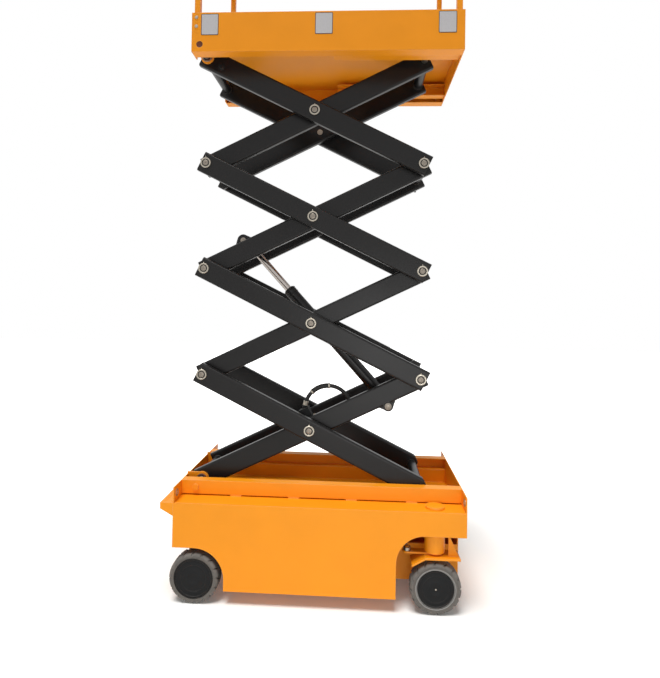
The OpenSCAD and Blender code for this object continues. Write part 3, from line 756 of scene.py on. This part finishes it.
class LIFT_OT_hubs(Operator):
    """Sets a pressed cover in each hub's dish, and a screw in the middle of the front ones"""

    bl_idname = "lift.hubs"
    bl_label = "Hub covers"

    def execute(self, context):
        sizes = context.scene.lift_sizes
        dish = 6 * MM
        screw = disc(4, 5.6, 1, 16)
        for wheel in WHEELS:
            low, high = corners(f"{wheel}_hub")
            side = np.sign(low[1] + high[1])
            face = np.abs((low[1], high[1])).max()
            floor = (low + high) / 2 * (1, 0, 1) + (0, side * (face - dish), 0)
            front = wheel.startswith("front")
            gap = sizes.rim_ring if front else 0.5 * MM
            cover = ((high[2] - low[2]) / 2 - sizes.hub_lip - gap) / MM
            profile = (
                (0, 2.2), (24, 2.2), (26, 3.4), (29, 3.4), (32, 1.8), (58, 1.8),
                (60, 3.2), (63, 3.2), (66, 1.8), (cover - 6, 1.8), (cover - 4, 4.4),
                (cover - 1, 4.4), (cover, 3.4), (cover, 0), (0, 0),
            )
            piece(
                f"{wheel}_hub_cover",
                outward(turned(profile, 72), [floor]),
                hub_paint(context),
                f"{wheel}_wheel",
            )
            if front:
                piece(
                    f"{wheel}_centre_screw",
                    outward(screw, [floor]),
                    zinc_plate(context),
                    f"{wheel}_wheel",
                )
        return {"FINISHED"}


class LIFT_OT_pins(Operator):
    """Finishes the ends of the scissor pins: raised ring, painted shade inside it, bright core and
    nipple
    """

    bl_idname = "lift.pins"
    bl_label = "Pin ends"

    def execute(self, context):
        sizes = context.scene.lift_sizes
        radius = 25.5
        inner = radius - sizes.pin_ring / MM
        ring = washer(inner, radius, 2.5, 0.8, 48)
        # Painted shade: a dark disc under the ring and round the core stands for the shade in the
        # gap between them.
        shade_disc = disc(inner + 0.5, 0.6, 0.1, 48)
        core = turned(
            np.array(((0, 0), (13.5, 0), (13.5, 2), (11.475, 3.2), (3.375, 3.2), (2.43, 2.2),
                      (0, 2.2))) * sizes.pin_core / (27 * MM),
            40,
        )
        nipple = turned(
            ((0, 0), (3.2, 0), (3.2, 3), (2.0, 4), (2.6, 6), (1.6, 8), (0, 8)), 12
        )
        arm_face = corners("pins_2")[1][1]
        top_face = corners("pins_4")[1][1]
        for level in LEVELS:
            left, centre, right = outer_pins(level)
            spots = sides(centre, arm_face) + sides(left, arm_face if level < 4 else top_face)
            if level > 1:
                spots += sides(right, arm_face)
            rims = [
                spot - (0, np.sign(spot[1]) * 2.5 * MM, 0) + UP * (radius - 2) * MM
                for spot in spots
            ]
            for name, shape, material in (
                ("ends", joined(outward(ring, spots), stamped(nipple, rims)), zinc_plate),
                ("cores", outward(core, spots), bare_steel),
                ("grooves", outward(shade_disc, spots), hose_rubber),
            ):
                piece(
                    f"pin_{name}_{level}", shape, material(context), f"outer_{level}"
                )
        return {"FINISHED"}


class LIFT_OT_welds(Operator):
    """Lays the weld beads round the cross tubes, and sets the bolts of the top arms"""

    bl_idname = "lift.welds"
    bl_label = "Welds"

    def execute(self, context):
        bolt = joined(disc(18, 2, 0.6, 32), disc(12, 4.5, 1, 6))
        left, centre, _ = outer_pins(4)
        reach, drop = 77 * MM, 12 * MM
        place = left + unit(centre - left) * reach - UP * drop
        piece(
            "arm_bolts",
            outward(bolt, sides(place, corners("outer_arms_4")[1][1])),
            hub_paint(context),
            "outer_4",
        )
        bead = bead_ring(25 * MM, context.scene.lift_sizes.weld, 144, 36)
        for level in LEVELS:
            face = corners(f"cross_tubes_{level}")[1][1]
            left, _, right = inner_pins(level)
            piece(
                f"tube_welds_{level}",
                stamped(bead, sides(left, face) + sides(right, face), (0, 1, 0)),
                arm_enamel(context),
                f"inner_{level}",
            )
        return {"FINISHED"}


class LIFT_OT_cylinder(Operator):
    """Adds the seal, rings and pin ends of the lift cylinder, and the hose's sleeve and ferrules"""

    bl_idname = "lift.cylinder"
    bl_label = "Cylinder and hose trim"

    def execute(self, context):
        foot = joint_place("barrel_pivot")
        along = unit(JOINTS["rod_slide"]["axis"])
        along *= np.sign(along[2])
        barrel_length = 768 * MM
        mouth = foot + along * barrel_length
        seal = turned(((19, 0), (27, 0), (27, 3), (24, 6), (20, 7), (19, 7)), 48, True)
        piece(
            "wiper_seal",
            stamped(seal, mouth, along),
            hose_rubber(context),
            "lift_barrel",
        )
        band = bead_ring(31.6 * MM, 1.6 * MM, 64)
        piece(
            "gland_rings",
            stamped(band, [mouth - along * down * MM for down in (6, 30)], along),
            hub_paint(context),
            "lift_barrel",
        )

        left, centre, _ = inner_pins(1)
        run = unit(centre - left)
        rise = np.cross(run, (0, 1, 0))
        rise *= np.sign(rise[2])
        hose_bend = 117 * MM
        hose_heart = centre + run * 111 * MM + rise * 39 * MM - (0, 85 * MM, 0)

        def arc(degrees):
            """Points of the hose's middle line, a circle about its heart, and its direction
            there, by angle."""
            a = np.radians(np.asarray(degrees, float))[..., None]
            return (
                hose_heart + hose_bend * (np.cos(a) * run + np.sin(a) * rise),
                np.cos(a) * rise - np.sin(a) * run,
            )

        sleeve_ends = (62, 108)
        sleeve, _ = arc(np.linspace(*sleeve_ends, 28))
        piece(
            "hose_sleeve",
            swept(sleeve, 12.5 * MM, 20),
            hose_rubber(context),
            "inner_1",
        )
        ferrule = turned(
            ((10.2, -11), (13, -11), (13.6, -9), (12.4, -6), (13.6, -3), (12.4, 0), (13.6, 3),
             (12.4, 6), (13.6, 9), (13, 11), (10.2, 11)),
            32,
            True,
        )
        clip = washer(10.2, 13.6, 7, 0.8, 32)
        bright = [stamped(ferrule, *arc(angle)) for angle in (-12, 141)]
        for spot, way in map(arc, sleeve_ends):
            bright.append(stamped(clip, spot - way * 3.5 * MM, way))
        piece("hose_ferrules", joined(*bright), zinc_plate(context), "inner_1")

        boss = turned(((0, -40), (25, -40), (25, 0), (24, 0.8), (0, 0.8)), 40)
        spots = sides(foot, corners("inner_arms_1")[1][1] - 7 * MM)
        piece("foot_bosses", outward(boss, spots), arm_enamel(context), "inner_1")
        end = turned(
            ((0, 0.5), (17, 0.5), (17, 2.5), (15, 3), (17, 3.5), (17, 5), (15.5, 6), (0, 6)), 40
        )
        piece("foot_pin_ends", outward(end, spots), bare_steel(context), "inner_1")

        eye_back, eye_rise = 372 * MM, 60 * MM
        eye = inner_pins(3)[1] - run * eye_back + rise * eye_rise
        spots = sides(eye, corners("cylinder_eye_lugs")[1][1] - 6 * MM)
        end = turned(
            ((0, 0), (14, 0), (14, 1.4), (12.5, 2.2), (5, 2.2), (4, 1.6), (0, 1.6)), 40
        )
        piece("eye_pin_ends", outward(end, spots), bare_steel(context), "inner_3")
        return {"FINISHED"}


class LIFT_OT_platform(Operator):
    """Adds the blank plates, screws and hole plugs to the platform, and the deck's raised bars"""

    bl_idname = "lift.platform"
    bl_label = "Platform trim"

    def execute(self, context):
        sizes = context.scene.lift_sizes
        low, high = corners("platform_sides")
        near = (0, -1, 0)
        wide, tall, border = sizes.plate_width, sizes.plate_width * 1.22, 6 * MM
        plate_x, plate_drop = (-0.5165, 0.018, 0.5845), 57 * MM
        spots = [(x, low[1], high[2] - plate_drop) for x in plate_x]
        edge = plate(rounded(wide, tall, 5 * MM), 0.8 * MM, 0.2 * MM)
        face = plate(rounded(wide - border, tall - border, 3 * MM), 1.3 * MM, 0.3 * MM)
        piece(
            "plate_edges",
            stamped(edge, spots, near),
            dark_vinyl(context),
            "platform",
        )
        piece("plate_faces", stamped(face, spots, near), vinyl(context), "platform")

        screw = joined(disc(8, 1.2, 0.4, 24), disc(5.5, 4, 1.5, 24))
        screw_x, screw_z = -0.5805, (2.711, 2.669)
        spots = [(screw_x, side * high[1], z) for side in SIDES for z in screw_z]
        piece("post_screws", outward(screw, spots), zinc_plate(context), "platform")
        plug = turned(((0, -3), (14.9, -3), (14.9, -1), (12, -1.6), (0, -1.2)), 40)
        spots = sides(joint_place("platform_pivot"), high[1])
        piece("hole_plugs", outward(plug, spots), brown_rubber(context), "platform")

        low, high = corners("deck")
        margin = 45 * MM
        x = np.arange(low[0] + margin, high[0] - margin, sizes.tread_pitch)
        y = np.arange(low[1] + margin, high[1] - margin, sizes.tread_pitch)
        i, j = np.meshgrid(np.arange(len(x)), np.arange(len(y)), indexing="ij")
        spots = np.stack((x[i], y[j], np.full(i.shape, high[2])), -1)
        even = (i + j) % 2 == 0
        piece(
            "deck_tread",
            tread_bars(sizes, spots[even], spots[~even]),
            powder_coat(context),
            "platform",
        )
        return {"FINISHED"}


class LIFT_OT_guardrail(Operator):
    """Adds caps to the posts, welds to the rails, and collars and a latch knob to the gate"""

    bl_idname = "lift.guardrail"
    bl_label = "Guardrail trim"

    def execute(self, context):
        sizes = context.scene.lift_sizes
        low, high = corners("guard_posts")
        rail_low, rail_high = corners("guard_rails")
        tube = sizes.rail_tube
        half = tube / 2
        top = rail_high[2]
        post_x = (low[0] + half, rail_high[0] - half)
        post_y = high[1] - half
        cap = plate(rounded(tube, tube, 3 * MM), 2.5 * MM, 1.2 * MM)
        spots = [(x, side * post_y, top) for x in post_x for side in SIDES]
        piece("post_caps", stamped(cap, spots), abs_black(context), "platform")

        bead = sizes.weld * 0.6
        corner = half - 1 * MM
        x_way, y_way = np.eye(3)[:2]
        welds = []
        for z in (rail_low[2] + half, top - half):
            ends = [
                ((x + turn * half, side * post_y, z), y_way)
                for x, turn in zip(post_x, (1, -1))
                for side in SIDES
            ] + [((post_x[1], side * (post_y - half), z), x_way) for side in SIDES]
            for spot, across in ends:
                for out, along in ((across, UP), (UP, across)):
                    for side in SIDES:
                        middle = spot + side * half * out
                        welds.append(
                            weld_line(middle - corner * along, middle + corner * along, bead)
                        )
        piece("rail_welds", joined(*welds), powder_coat(context), "platform")

        axis = joint_place("gate_swing")
        gate_low, gate_high = corners("entry_gate")
        collar = washer(13.6, 16, 18, 0.8, 40)
        spots = [(axis[0], axis[1], z) for z in (gate_low[2] + 2 * MM, gate_high[2] - 20 * MM)]
        piece("hinge_collars", stamped(collar, spots), zinc_plate(context), "gate")
        knob = turned(
            ((0, 0), (5, 0), (5, 8), (9, 10), (12, 16), (11, 23), (6, 27), (0, 28)), 32
        )
        middle_bar = (gate_low[2] + gate_high[2]) / 2
        spot = (axis[0] - 10 * MM, gate_low[1] + 110 * MM, middle_bar)
        piece(
            "latch_knob",
            stamped(knob, spot, (-1, 0, 0)),
            abs_black(context),
            "gate",
        )
        return {"FINISHED"}


class LIFT_OT_controls(Operator):
    """Sets the joystick, the stop button and the switches on the control box"""

    bl_idname = "lift.controls"
    bl_label = "Controls"

    def execute(self, context):
        low, high = corners("control_box")
        out, up = unit((-70, 0, 55)), unit((55, 0, 70))
        face = np.array((low[0] + 27.5 * MM, (low[1] + high[1]) / 2, low[2] + 135 * MM))

        def at(across, above):
            """Place on the sloping face, in millimetres from its middle."""
            return face - (0, across * MM, 0) + up * above * MM

        folds = 25
        bellows = np.linspace(22, 9, folds) + 1.5 * np.cos(np.linspace(0, 8 * np.pi, folds))
        boot = np.column_stack((bellows, np.linspace(2, 30, folds)))
        boot = np.concatenate((((0, 0), (26, 0), (26, 2)), boot, ((0, 30),)))
        stick = (
            (0, 28), (5, 28), (5, 44), (9, 48), (13, 60), (14, 76), (12, 88), (7, 93), (0, 94),
        )
        collar = ((0, 0), (22, 0), (22, 3), (19, 5), (14, 5), (14, 12), (0, 12))
        mushroom = (
            (0, 11), (10, 11), (10, 14), (19, 16), (20, 20), (18, 25), (11, 28), (0, 29),
        )
        lever = ((0, 0), (3, 0), (2.4, 12), (3.4, 18), (2.5, 21), (0, 22))
        switch = joined(disc(8, 3, 0.8, 6), turned(lever, 16))
        stop = at(-66, 0)
        switches = [at(across, above) for across in (50, 78) for above in (-22, 22)]
        for name, shape, spots, material, slot in (
            ("joystick", joined(turned(boot, 40), turned(stick, 32)), at(0, 0), hose_rubber,
             "control_case"),
            ("stop_collar", turned(collar, 40), stop, yellow_plastic, "control_case"),
            ("stop_button", turned(mushroom, 40), stop, red_plastic, "control_case"),
            ("switches", switch, switches, zinc_plate, "zinc_steel"),
        ):
            piece(name, stamped(shape, spots, out), material(context), "platform")

        screw = disc(4, 1.8, 0.8, 16)
        screws = [
            stamped(screw, (low[0] + x * MM, y, low[2] + z * MM), (0, side, 0))
            for side, y in zip(SIDES, (low[1], high[1]))
            for x in (12, 98)
            for z in (12, 80)
        ]
        piece("box_screws", joined(*screws), zinc_plate(context), "platform")
        return {"FINISHED"}


class LIFT_OT_chassis(Operator):
    """Adds the step's raised bars, tie-down rings, kingpin domes and base pin ends"""

    bl_idname = "lift.chassis"
    bl_label = "Chassis trim"

    def execute(self, context):
        sizes = context.scene.lift_sizes
        coat = powder_coat(context)
        low, high = corners("rear_step")
        y = np.arange(low[1] + 30 * MM, high[1] - 25 * MM, sizes.tread_pitch)
        rows = [
            np.column_stack(np.broadcast_arrays(low[0] + inset * MM, y, high[2]))
            for inset in (16, 44)
        ]
        piece("step_tread", tread_bars(sizes, *rows), coat, "chassis")

        sheet = 5 * MM
        ring_y, ring_z = 0.34, 0.492
        ring = washer(11.2, 18, 2.2, 0.7, 40)
        rear, front = corners("rear_end_plate")[0][0], corners("front_end_plate")[1][0]
        rings = [
            stamped(ring, [(x, side * ring_y, ring_z) for side in SIDES], (out, 0, 0))
            for x, out in ((rear, -1), (rear + sheet, 1), (front - sheet, -1))
        ]
        piece("tie_down_rings", joined(*rings), zinc_plate(context), "chassis")

        kingpin = joint_place("steer")
        top = corners("kingpin_caps")[1][2]
        spots = [(kingpin[0], side * abs(kingpin[1]), top) for side in SIDES]
        dome = turned(((0, 0), (38, 0), (37, 1.6), (30, 3.0), (12, 3.8), (0, 4.0)), 48)
        piece("kingpin_domes", stamped(dome, spots), coat, "chassis")

        spots = sides(joint_place("lift"), corners("base_pins")[1][1])
        core = turned(((0, 0), (13.5, 0), (13.5, 2), (11.5, 3.2), (0, 3.2)), 40)
        # Painted shade: a dark disc round the base pin's core stands for the shade in the gap round
        # it.
        shade_disc = disc(19, 0.6, 0.1, 40)
        piece("base_pin_cores", outward(core, spots), bare_steel(context), "chassis")
        piece(
            "base_pin_shade_discs",
            outward(shade_disc, spots),
            hose_rubber(context),
            "chassis",
        )
        return {"FINISHED"}


def placed(name, data, axes, spot):
    """New object for a lamp or the camera: three axes and a spot make its matrix."""
    thing = bpy.data.objects.new(name, data)
    rows = np.column_stack((axes, spot)).tolist()
    thing.matrix_world = Matrix(rows + [(0, 0, 0, 1)])
    bpy.context.scene.collection.objects.link(thing)
    return thing


class LIFT_OT_stage(Operator):
    """Sets the floor, the light and the camera"""

    bl_idname = "lift.stage"
    bl_label = "Stage"

    def execute(self, context):
        context.scene.view_settings.view_transform = "Standard"
        self.light(context.scene)
        self.floor(context.scene)
        self.camera(context.scene)
        return {"FINISHED"}

    def light(self, scene):
        """White surroundings to the eye and in reflections, with a weaker even light from them, a
        soft sun from above and a low front lamp."""
        stage = scene.lift_stage
        world = bpy.data.worlds.new("studio")
        scene.world = world
        world.use_nodes = True
        tree = world.node_tree
        ray = add(tree, "LightPath").outputs
        seen = ray["Is Camera Ray"]
        for kind in ("Is Glossy Ray", "Is Transmission Ray"):
            seen = add(tree, "Math", {0: seen, 1: ray[kind]}, operation="MAXIMUM").outputs[0]
        level = add(tree, "MapRange", {"Value": seen, "To Min": stage.sky, "To Max": 1.0})
        wire(
            tree,
            tree.nodes["Background"],
            {"Color": (1, 1, 1, 1), "Strength": level.outputs["Result"]},
        )

        key = bpy.data.lights.new("key_light", "SUN")
        key.energy = stage.key
        key.angle = np.radians(25)
        fill = bpy.data.lights.new("fill_light", "AREA")
        fill.energy = stage.fill
        fill.size = 1.5
        fill.spread = np.radians(60)
        for lamp, spot, aim in (
            (key, (-0.7, -1.6, 6.0), (0, 0, 0)),
            (fill, (0.5, -3.6, 0.8), (0, -0.3, 0.4)),
        ):
            placed(lamp.name, lamp, turn_to(np.subtract(spot, aim)), spot)

    def floor(self, scene):
        """Pale floor that keeps the shadow near the lift and fades to white away from it."""
        material, tree, shader, place = shaded("studio_floor", Roughness=0.9)
        away = add(tree, "VectorMath", {0: place}, operation="LENGTH")
        fade = add(
            tree,
            "MapRange",
            {"Value": away.outputs["Value"], "From Min": 0.8, "From Max": 1.9},
            interpolation_type="SMOOTHSTEP",
        )
        lift = add(tree, "MapRange", {"Value": fade.outputs[0], "To Min": 0.06, "To Max": 1.0})
        seen = add(tree, "LightPath").outputs["Is Camera Ray"]
        glow = add(tree, "Math", {0: lift.outputs[0], 1: seen}, operation="MULTIPLY")
        wire(
            tree,
            shader,
            {
                "Base Color": scene.lift_colours.floor,
                "Emission Color": (1, 1, 1, 1),
                "Emission Strength": glow.outputs[0],
            },
        )
        reach = (-14.0, 14.0)
        square = np.stack(np.meshgrid(reach, reach, (0.0,), indexing="ij"), -1)
        points, quads = grid(square.reshape(2, 2, 3))
        mesh = bpy.data.meshes.new("floor")
        mesh.from_pydata(points.tolist(), [], quads.tolist())
        mesh.materials.append(material)
        floor = bpy.data.objects.new("floor", mesh)
        scene.collection.objects.link(floor)

    def camera(self, scene):
        """Camera at the photograph's place: a yaw, a pitch and a roll in radians from a level look
        along Y."""
        camera = bpy.data.cameras.new("camera")
        camera.sensor_fit = "HORIZONTAL"
        camera.sensor_width = 36.0
        camera.lens = scene.lift_stage.lens
        camera.shift_x = -0.0008
        camera.shift_y = -0.06667
        yaw, pitch, roll = -0.0557, 0.0126, -0.017
        level = np.array((np.sin(yaw), np.cos(yaw), 0))
        ahead = np.cos(pitch) * level + np.sin(pitch) * UP
        right = np.array((np.cos(yaw), -np.sin(yaw), 0))
        down = np.cross(ahead, right)
        across = np.cos(roll) * right + np.sin(roll) * down
        below = np.cos(roll) * down - np.sin(roll) * right
        axes = np.stack((across, -below, -ahead), 1)
        scene.camera = placed("camera", camera, axes, (0.2062, -2.806, 1.3908))


class LIFT_PT_panel(Panel):
    """Lists the lift's operators and settings"""

    bl_idname = "LIFT_PT_panel"
    bl_label = "Scissor lift"
    bl_space_type = "VIEW_3D"
    bl_region_type = "UI"
    bl_category = "Scissor lift"

    def draw(self, context):
        for operator in OPERATORS:
            self.layout.operator(operator.bl_idname)
        for settings in SETTINGS:
            group = getattr(context.scene, settings)
            for key in group.bl_rna.properties.keys():
                if key not in ("name", "rna_type"):
                    self.layout.prop(group, key)


SETTINGS = {"lift_sizes": LiftSizes, "lift_colours": LiftColours, "lift_stage": LiftStage}
OPERATORS = (
    LIFT_OT_paint,
    LIFT_OT_tyres,
    LIFT_OT_hubs,
    LIFT_OT_pins,
    LIFT_OT_welds,
    LIFT_OT_cylinder,
    LIFT_OT_platform,
    LIFT_OT_guardrail,
    LIFT_OT_controls,
    LIFT_OT_chassis,
    LIFT_OT_stage,
)


def register():
    """Registers the settings, the operators and the panel."""
    for key, group in SETTINGS.items():
        bpy.utils.register_class(group)
        setattr(bpy.types.Scene, key, PointerProperty(type=group))
    for kind in (*OPERATORS, LIFT_PT_panel):
        bpy.utils.register_class(kind)


def unregister():
    """Takes the panel, the operators and the settings out again."""
    for kind in (LIFT_PT_panel, *reversed(OPERATORS)):
        bpy.utils.unregister_class(kind)
    for key, group in SETTINGS.items():
        delattr(bpy.types.Scene, key)
        bpy.utils.unregister_class(group)


def main():
    """Finishes the lift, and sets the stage."""
    register()
    for operator in OPERATORS:
        group, name = operator.bl_idname.split(".")
        getattr(getattr(bpy.ops, group), name)()


if __name__ == "__main__":
    main()
